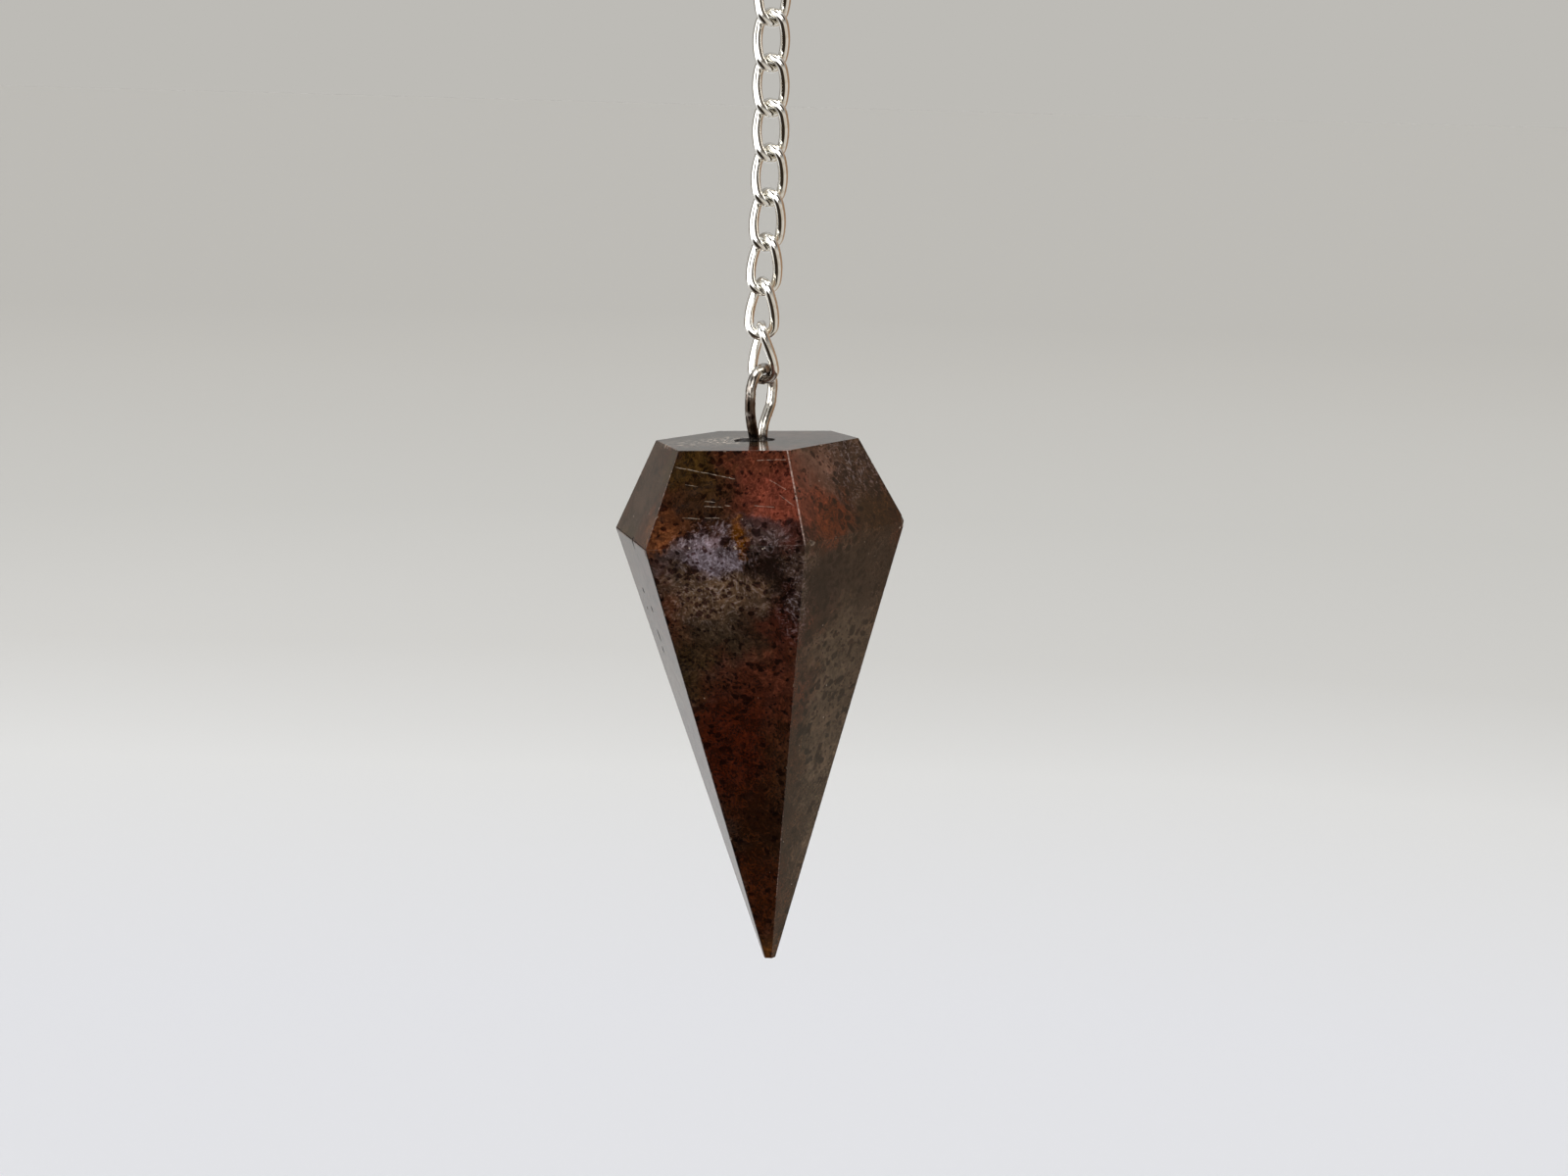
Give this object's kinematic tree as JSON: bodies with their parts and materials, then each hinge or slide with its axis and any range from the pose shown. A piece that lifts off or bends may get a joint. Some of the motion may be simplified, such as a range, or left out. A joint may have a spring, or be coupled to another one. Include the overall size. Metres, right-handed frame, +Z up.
{
  "type": "pendulum pendant",
  "caption": "Long six-sided faceted stone point with a flat table, hung by a bent-wire eye from a twisted curb chain with a plain ring at its top.",
  "frame": {"origin": "inside of the top of the hold ring, where the pendant hangs", "axes": "+Z up along the plumb line and the chain; +X to the right and -Y towards the viewer of the front"},
  "size_m": [0.0207, 0.021, 0.0761],
  "materials": {
    "stone": "polished mottled jasper or agate: olive brown, rust red, maroon and lavender grey, with black specks and fine scratches",
    "eye_wire": "polished nickel-toned plate with plier marks",
    "chain_wire": "bright silver plate",
    "resin": "dark glossy adhesive resin"
  },
  "bodies": {
    "chain": {"hold_ring": "chain_wire", "link_01": "chain_wire", "link_02": "chain_wire", "link_03": "chain_wire", "link_04": "chain_wire", "link_05": "chain_wire", "link_06": "chain_wire", "link_07": "chain_wire", "link_08": "chain_wire", "link_09": "chain_wire"},
    "pendulum": {"stone": "stone", "eye_pin": "eye_wire", "resin_plug": "resin"}
  },
  "joints": [
    {"name": "pendant_swing", "type": "hinge", "parent": "chain", "child": "pendulum", "pos_m": [0.0001, 0, -0.03311], "axis": [0.8645, -0.5, 0.0514], "range_deg": [-70, 70]}
  ]
}
